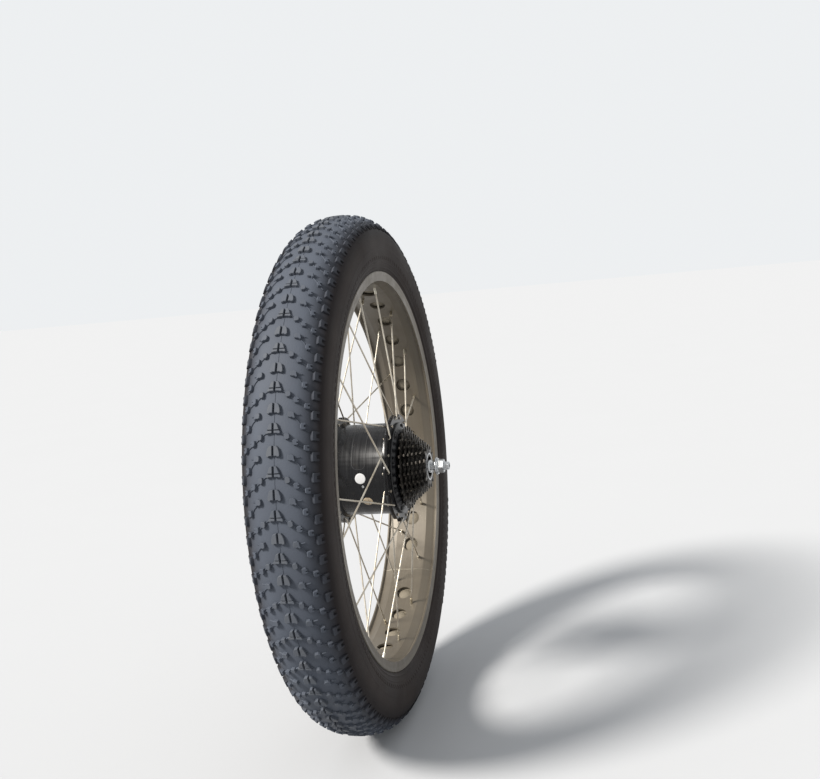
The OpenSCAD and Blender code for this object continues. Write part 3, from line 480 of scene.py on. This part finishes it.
# Knob outlines for one half of the tread: points (u, s) in mm, the apex of the chevron at negative u
ROW_A = [
    [(-7.4, 1.15), (-7.2, 3.4), (-5.4, 4.9), (-2.2, 6.0), (0.4, 7.1), (0.5, 1.15)],
    [(1.4, 1.15), (1.3, 7.5), (3.0, 8.6), (4.7, 8.4), (4.9, 6.4), (4.3, 5.2), (4.2, 1.15)],
    [(4.9, 14.0), (4.7, 17.3), (6.2, 18.9), (10.0, 19.1), (11.5, 17.4), (11.7, 14.8), (10.2, 13.5),
     (6.4, 13.2)],
    [(11.6, 23.4), (11.6, 27.4), (13.2, 29.1), (14.6, 29.1), (14.7, 27.2), (15.7, 27.2), (15.9, 29.1),
     (17.0, 29.0), (18.2, 27.4), (18.2, 24.4), (16.4, 22.9), (13.0, 22.7)],
    [(18.4, 36.0), (18.2, 41.4), (19.9, 41.8), (20.3, 39.2), (21.5, 39.2), (21.9, 41.8), (24.6, 41.4),
     (24.8, 37.6), (23.4, 35.7), (20.0, 35.4)],
]
ROW_B = [
    [(-6.0, 1.15), (-5.7, 3.9), (-4.0, 5.8), (0.2, 7.3), (4.6, 7.9), (6.2, 7.2), (6.4, 5.0), (5.4, 4.4),
     (5.4, 1.15)],
    [(4.6, 17.6), (4.2, 21.6), (5.6, 23.7), (8.4, 24.0), (11.6, 25.2), (12.0, 23.4), (10.8, 21.6),
     (11.2, 19.4), (10.4, 17.2), (7.0, 16.7)],
    [(17.4, 32.0), (17.0, 36.7), (19.4, 37.3), (19.9, 35.0), (21.9, 35.0), (22.3, 37.3), (24.5, 36.5),
     (24.7, 33.4), (23.2, 31.6), (19.4, 31.3)],
]
SHOULDER = [(-5.2, 45.8), (-5.5, 55.4), (-2.6, 55.8), (-2.0, 50.6), (2.0, 50.6), (2.6, 55.8),
            (5.5, 55.4), (5.2, 45.8), (3.6, 45.0), (-3.6, 45.0)]
SHOULDER_SHIFT = 7.2

# Middle lines of the low bars that tie each row's knobs together
RIDGE_A = [[(3.8, 8.0), (4.9, 11.2), (7.0, 14.0)], [(10.4, 18.2), (14.2, 23.6)],
           [(17.2, 28.4), (20.8, 36.2)], [(23.8, 40.6), (25.4, 46.4)]]
RIDGE_B = [[(11.4, 24.2), (15.0, 28.6), (19.6, 32.2)], [(8.0, 24.0), (7.4, 31.0)],
           [(23.8, 36.4), (26.4, 41.0)]]
RIDGE_H = 1.3
RIDGE_W = 1.0


def grown(outline, d):
    """The outline moved outwards by d, along the direction that halves each corner."""
    n = len(outline)
    area = sum(outline[i - 1][0] * outline[i][1] - outline[i][0] * outline[i - 1][1] for i in range(n))
    d = math.copysign(d, d * area)
    points = []
    for i in range(n):
        (ax, ay), (bx, by), (cx, cy) = outline[i - 1], outline[i], outline[(i + 1) % n]
        len1, len2 = math.hypot(bx - ax, by - ay), math.hypot(cx - bx, cy - by)
        nx1, ny1 = (by - ay) / len1, (ax - bx) / len1
        nx2, ny2 = (cy - by) / len2, (bx - cx) / len2
        nx, ny = nx1 + nx2, ny1 + ny2
        stretch = max(0.35, nx * nx1 + ny * ny1)
        points.append((bx + nx / stretch * d, by + ny / stretch * d))
    return points


def add_knob(verts, faces, outline, u0, side, height, draft, sink=0.0):
    """One rubber block: foot under the carcass, straight flank, small chamfer, flat top `sink` deep."""
    base = len(verts)
    levels = [(draft, height + 0.9), (draft * 0.35, height * 0.55), (0.0, 0.45), (-0.4, 0.0)]
    for d, depth in levels:
        verts += [tread_point(u0 + u, side * s, depth + sink) for u, s in grown(outline, d)]
    skin(faces, base, len(levels), len(outline))
    cap_ends(faces, base, len(levels), len(outline))


def add_ridge(verts, faces, line, u0, side):
    """Low tie bar between knobs, along a line of (u, s) points."""
    path = []
    for (u1, s1), (u2, s2) in zip(line, line[1:]):
        n = max(2, int(math.hypot(u2 - u1, s2 - s1) / 1.6))
        path += [(u1 + (u2 - u1) * i / n, s1 + (s2 - s1) * i / n) for i in range(n)]
    path.append(line[-1])
    foot, flank, top = TREAD_H + 0.7, TREAD_H - RIDGE_H * 0.8, TREAD_H - RIDGE_H
    section = [(1.6, foot), (0.9, flank), (0.45, top), (-0.45, top), (-0.9, flank), (-1.6, foot)]
    base = len(verts)
    for i, (u, s) in enumerate(path):
        (ua, sa), (ub, sb) = path[max(0, i - 1)], path[min(len(path) - 1, i + 1)]
        half = RIDGE_W / 2 / math.hypot(ub - ua, sb - sa)
        du, ds = (sa - sb) * half, (ub - ua) * half
        verts += [tread_point(u0 + u + du * k, side * (s + ds * k), depth) for k, depth in section]
    skin(faces, base, len(path), len(section))
    cap_ends(faces, base, len(path), len(section))


def outer_half(crown_points=60, side_points=44):
    """Outside of the carcass from the middle of the tread to the bead, as (radius, offset)."""
    points = []
    last = len(ARC) - 1
    for i in range(crown_points + 1):
        at = i * last // crown_points
        s, z, r = ARC[at]
        _, z0, r0 = ARC[max(0, at - 3)]
        _, z1, r1 = ARC[min(last, at + 3)]
        length = math.hypot(z1 - z0, r1 - r0)
        # The surface rises from the tread's floor to the sidewall between 46 and 62 mm from the middle
        ease = max(0.0, min(1.0, (s - 46.0) / 16.0))
        ease = ease * ease * (3 - 2 * ease)
        depth = TREAD_H * (1 - ease) + SIDE_DEPTH * ease
        offset = z + (r1 - r0) / length * depth if i else 0.0
        points.append((r - (z1 - z0) / length * depth, offset))
    # Moulded rings on the sidewall: radius, half width, height
    rings = ((318.0, 1.2, 0.3), (302.0, 0.9, 0.45), (298.5, 0.9, 0.45), (291.5, 1.4, 0.7))
    for i in range(1, side_points + 1):
        r, z = section_point(math.radians(34 * i / side_points), HALF_W, -SIDE_DROP)
        proud = max(0.0, *(high * (1 - abs(r - middle) / half) for middle, half, high in rings))
        points.append((r, z - SIDE_DEPTH + proud))
    return points


def inner_half(points=22):
    """Inside of the carcass from the bead to the middle of the tread."""
    up, down = CROWN - CROWN_WALL, BEAD_WALL - SIDE_DROP
    angles = [math.radians(-30 + 120 * i / (points - 1)) for i in range(points)]
    return [section_point(abs(a), HALF_W - SIDE_WALL, up if a > 0 else down) for a in angles]


def build_tyre(steps=288):
    bead = [(287.2, 41.6), (283.0, 41.3), (280.0, 40.6), (279.9, 34.2), (285.6, 34.9)]
    one_side = outer_half() + bead + inner_half()
    section = one_side + [(r, -z) for r, z in reversed(one_side[1:-1])]
    verts, faces = [], []
    for j in range(steps):
        verts += [around(r, -z, 2 * math.pi * j / steps) for r, z in section]
    skin(faces, 0, steps, len(section), loop=True)
    # Mould seam along the middle of the tread
    base = len(verts)
    seam = [(0.7, TREAD_H + 0.4), (0.35, TREAD_H - 0.45), (-0.35, TREAD_H - 0.45), (-0.7, TREAD_H + 0.4)]
    for j in range(steps):
        verts += [tread_point(2 * math.pi * TYRE_R * j / steps, s, depth) for s, depth in seam]
    skin(faces, base, steps, len(seam), loop=True)
    obj = mesh_piece("tyre_carcass", verts, faces, TYRE, "wheel", SMOOTH_RUBBER)
    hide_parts("tyre")


def build_knobs():
    """Every block of the tread and the low bars that tie them together."""
    verts, faces = [], []
    start = math.radians(ROW_A_ANGLE) * TYRE_R
    rows = ((ROW_A, RIDGE_A, 0.0), (ROW_B, RIDGE_B, PERIOD / 2))
    for p in range(PERIODS):
        for side in (1, -1):
            for outlines, ridges, shift in rows:
                u0 = start + p * PERIOD + shift
                for outline in outlines:
                    add_knob(verts, faces, outline, u0, side, TREAD_H, 0.4)
                for ridge in ridges:
                    add_ridge(verts, faces, ridge, u0, side)
                add_knob(verts, faces, SHOULDER, u0 + SHOULDER_SHIFT, side, 3.4, 0.45)
    obj = mesh_piece("tyre_knobs", verts, faces, TYRE, "wheel", SMOOTH_RUBBER)


def side_bars(count=172, high=0.42, foot=-0.25):
    """Band of short moulded bars round each sidewall, above the rim."""
    verts, faces = [], []
    for side in (1, -1):
        for i in range(count):
            base = len(verts)
            for r, top in ((302.6, foot), (303.1, high), (307.1, high), (307.6, foot)):
                surface = HALF_W * (1 - ((MID_R - r) / SIDE_DROP) ** POWER) ** (1 / POWER) - SIDE_DEPTH
                for degrees, lift in ((-0.66, foot), (-0.56, top), (0.56, top), (0.66, foot)):
                    a = 2 * math.pi * i / count + math.radians(degrees + (r - 305) * 0.06)
                    verts.append(around(r, -side * (surface + lift), a))
            for row in range(3):
                for k in range(3):
                    v = base + row * 4 + k
                    faces.append((v, v + 1, v + 5, v + 4))
            faces.append(tuple(base + v for v in (0, 1, 2, 3, 7, 11, 15, 14, 13, 12, 8, 4)))
    obj = mesh_piece("tyre_side_bars", verts, faces, TYRE, "wheel", 30)


def shoulder_hatch():
    """Two groups of short slanted bars high on each sidewall."""
    verts, faces = [], []
    bar = [(-1.7, 61.5), (1.7, 61.5), (4.4, 70.5), (1.0, 70.5)]
    for side in (1, -1):
        for middle in (-38, 38):
            for k in range(-7, 8):
                u0 = math.radians(middle + 2.3 * k) * TYRE_R
                add_knob(verts, faces, bar, u0, side, 0.6, 0.3, sink=-0.4)
    obj = mesh_piece("tyre_hatch_bars", verts, faces, TYRE, "wheel", 30)


build_tyre()
build_knobs()
side_bars()
shoulder_hatch()


# ---------------------------------------------------------------- rim

VALVE_ANGLE = 130
JOINT_ANGLE = VALVE_ANGLE + 180


def rim_joint():
    """Welded joint across the rim, opposite the valve: a fine raised line on its inner face."""
    half = [(271.7, 8.0), (271.7, 25.0), (276.0, 38.0), (272.5, 40.7), (272.5, 42.4)]
    line = [(r, -z) for r, z in reversed(half)] + half
    section = ((-0.8, -0.3), (-0.5, 0.25), (0.5, 0.25), (0.8, -0.3))
    verts, faces = [], []
    for r, z in line:
        verts += [around(r - lift, -z, math.radians(JOINT_ANGLE) + du / r) for du, lift in section]
    skin(faces, 0, len(line), len(section))
    cap_ends(faces, 0, len(line), len(section))
    obj = mesh_piece("rim_joint_line", verts, faces, WELD, "wheel", 40)


def strip_bulges(strip_r=277.9, wide=11.7, high=3.8, steps=6):
    """The band pressed a little way out through each of the rim's large holes."""
    verts, faces = [], []
    dome = [(wide * k / steps, high * (1 - (k / steps) ** 2.2)) for k in range(steps + 1)]
    rings = dome + [(wide, -0.4), (0, -0.4)]
    for degrees in range(20, 380, 10):
        if degrees in (VALVE_ANGLE, JOINT_ANGLE):
            continue
        middle = math.radians(degrees)

        def place(rho, th, lift):
            r = strip_r - lift
            return around(r, rho * math.cos(th), middle + rho * math.sin(th) / r)

        add_disc(verts, faces, rings, place)
    obj = mesh_piece("rim_strip_bulges", verts, faces, STRIP, "wheel", 40)


rim_joint()
strip_bulges()


# ---------------------------------------------------------------- axle with its threads

AXLE_END = round(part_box("axle")[1].y / MM, 2)
THREAD_FROM = 90.0
THREAD_R = 6.0
THREAD_DEPTH = 0.62
PITCH = 1.25
FLATS_FROM = 88.0
HALF_FLATS = 5.0
DUCT_R = 3.2
DUCT_LONG = 60.0

# Where the plain part changes diameter, towards the drive side: offset and the radius beyond it
AXLE_STEPS = [(-THREAD_FROM, 7.5), (-72.0, 8.5), (-21.0, 9.0), (21.0, 8.5), (28.0, 8.0), (50.0, 7.5),
              (THREAD_FROM, THREAD_R)]


def axle_stations():
    """Offsets of the axle's rings: five to a turn of thread, 6 mm apart between, two at each step."""
    turn = PITCH / 5
    thread = [AXLE_END - turn * i for i in range(int((AXLE_END - THREAD_FROM) / turn))]
    steps = [at + gap for at, _ in AXLE_STEPS for gap in (-0.01, 0.01)]
    return sorted(thread + [-t for t in thread] + [*range(-84, 85, 6)] + steps + [-FLATS_FROM, FLATS_FROM])


def axle_radius(t, a):
    """The axle's radius at offset t and angle a."""
    r = THREAD_R
    for at, beyond in AXLE_STEPS:
        if t >= at:
            r = beyond
    if abs(t) > THREAD_FROM + 1:
        phase = (t / PITCH - a / (2 * math.pi)) % 1.0
        chamfer = max(0.0, abs(t) - (AXLE_END - 0.9)) * 0.9
        r = THREAD_R - THREAD_DEPTH * abs(2 * phase - 1) - chamfer
    if abs(t) >= FLATS_FROM:
        r = min(r, HALF_FLATS / abs(math.cos(a)))
    return r


def build_axle(n=72):
    """Threaded ends with flats, and the cable duct that opens at the drive-side end."""
    angles = [2 * math.pi * i / n for i in range(n)]
    stations = axle_stations()
    verts, faces = [], []
    for t in stations:
        verts += [around(axle_radius(t, a), -t, a) for a in angles]
    for t in (AXLE_END, AXLE_END - DUCT_LONG):
        verts += [around(DUCT_R, -t, a) for a in angles]
    skin(faces, 0, len(stations) + 2, n)
    cap_ends(faces, 0, len(stations) + 2, n)
    obj = mesh_piece("axle_threaded", verts, faces, ZINC, "axle", 30)
    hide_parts("axle")


build_axle()


# ---------------------------------------------------------------- marks on the drum

DRUM_R = 66.0
MARK_FOOT = -0.2


def drum_patch(name, mat, angle, y, radius, lift=0.16, steps=5):
    """Thin round label or plug that follows the drum."""
    flat = [(radius * k / steps, lift) for k in range(steps)]
    edge = [(radius - 0.12, lift), (radius, lift * 0.55), (radius, MARK_FOOT), (0, MARK_FOOT)]
    verts, faces = [], []

    def place(rho, th, high):
        a = math.radians(angle) + rho * math.sin(th) / DRUM_R
        return around(DRUM_R + high, y + rho * math.cos(th), a)

    add_disc(verts, faces, flat + edge, place)
    obj = mesh_piece(name, verts, faces, mat, "wheel", 40)


def panel_outline(from_a=116.0, to_a=169.0, from_y=-15.0, to_y=5.0, corner=8.0):
    """Raised outline of an oblong panel with rounded corners."""
    middle_a, middle_y = math.radians((from_a + to_a) / 2), (from_y + to_y) / 2
    x1 = (to_y - from_y) / 2 - corner
    y1 = math.radians(to_a - from_a) / 2 * DRUM_R - corner
    path = []
    for cx, cy, start in ((x1, y1, 0), (-x1, y1, 90), (-x1, -y1, 180), (x1, -y1, 270)):
        for i in range(13):
            t = math.radians(start + 90 * i / 12)
            path.append((cx + corner * math.cos(t), cy + corner * math.sin(t)))
    # The straight sides are cut into lengths of about 2 mm, so that they follow the drum
    fine = []
    for (px, py), (qx, qy) in zip(path, path[1:] + path[:1]):
        cuts = max(1, int(math.hypot(qx - px, qy - py) / 2.0))
        fine += [(px + (qx - px) * k / cuts, py + (qy - py) * k / cuts) for k in range(cuts)]
    section = ((0.45, MARK_FOOT), (0.3, 0.14), (-0.3, 0.14), (-0.45, MARK_FOOT))
    verts, faces = [], []
    for i, (x, y) in enumerate(fine):
        (px, py), (qx, qy) = fine[i - 1], fine[(i + 1) % len(fine)]
        length = math.hypot(qx - px, qy - py)
        nx, ny = (py - qy) / length, (qx - px) / length
        verts += [around(DRUM_R + high, middle_y + x + nx * off, middle_a + (y + ny * off) / DRUM_R)
                  for off, high in section]
    skin(faces, 0, len(fine), len(section), loop=True)
    obj = mesh_piece("drum_panel_outline", verts, faces, ETCH, "wheel", 40)


drum_patch("drum_label", LABEL, 180.3, -6.7, 7.6)
drum_patch("drum_label_worn", WORN, 212.5, -12.0, 7.2)
drum_patch("drum_plug", ZINC, 190.5, -9.5, 1.8, 0.5)
panel_outline()


# ---------------------------------------------------------------- stage, light, camera

scene = bpy.context.scene

FLOOR_Z = -TYRE_R * MM - 0.0008   # just clear of the knobs, in metres
FLOOR_HALF = 60

KEY_FROM = Vector((-1.75, 1.95, 2.15))

CAMERA_AT = (-1.3060, -0.3915, 0.2608)
CAMERA_RIGHT = (0.22592, -0.97008, -0.08887)
CAMERA_AHEAD = (0.96589, 0.23492, -0.10891)


def floor():
    m = Mat("floor_pale", (0.395, 0.402, 0.415), 0.9, Specular_IOR_Level=0.0)
    m.tint(m.span(m.noise(3), 0.3, 0.7, 0.0, 0.3), (0.388, 0.394, 0.407))
    me = bpy.data.meshes.new("floor")
    corners = [(x * FLOOR_HALF, y * FLOOR_HALF, FLOOR_Z) for x, y in ((-1, -1), (1, -1), (1, 1), (-1, 1))]
    me.from_pydata(corners, [], [(0, 1, 2, 3)])
    me.materials.append(m.mat)
    obj = bpy.data.objects.new("floor", me)
    scene.collection.objects.link(obj)


def surround():
    """Pale studio light from all sides."""
    world = bpy.data.worlds.new("studio")
    world.use_nodes = True
    background = world.node_tree.nodes["Background"]
    background.inputs["Color"].default_value = (0.965, 0.985, 1.0, 1)
    background.inputs["Strength"].default_value = 0.88
    scene.world = world
    scene.view_settings.view_transform = "Standard"


def key_light():
    light = bpy.data.lights.new("key", "SUN")
    light.energy = 6.9
    light.angle = math.radians(14)
    light.color = (1.0, 0.96, 0.90)
    key = bpy.data.objects.new("key", light)
    scene.collection.objects.link(key)
    key.location = KEY_FROM
    key.rotation_euler = (-KEY_FROM).to_track_quat("-Z", "Y").to_euler()


def camera():
    data = bpy.data.cameras.new("camera")
    data.lens = 41.23
    data.sensor_width = 36
    data.clip_start = 0.02
    data.clip_end = 100
    cam = bpy.data.objects.new("camera", data)
    scene.collection.objects.link(cam)
    bpy.context.scene.camera = cam
    right = Vector(CAMERA_RIGHT).normalized()
    back = -Vector(CAMERA_AHEAD).normalized()
    up = back.cross(right).normalized()
    turn = Matrix((right, up, back)).transposed()
    cam.matrix_world = Matrix.Translation(CAMERA_AT) @ turn.to_4x4()


floor()
surround()
key_light()
camera()
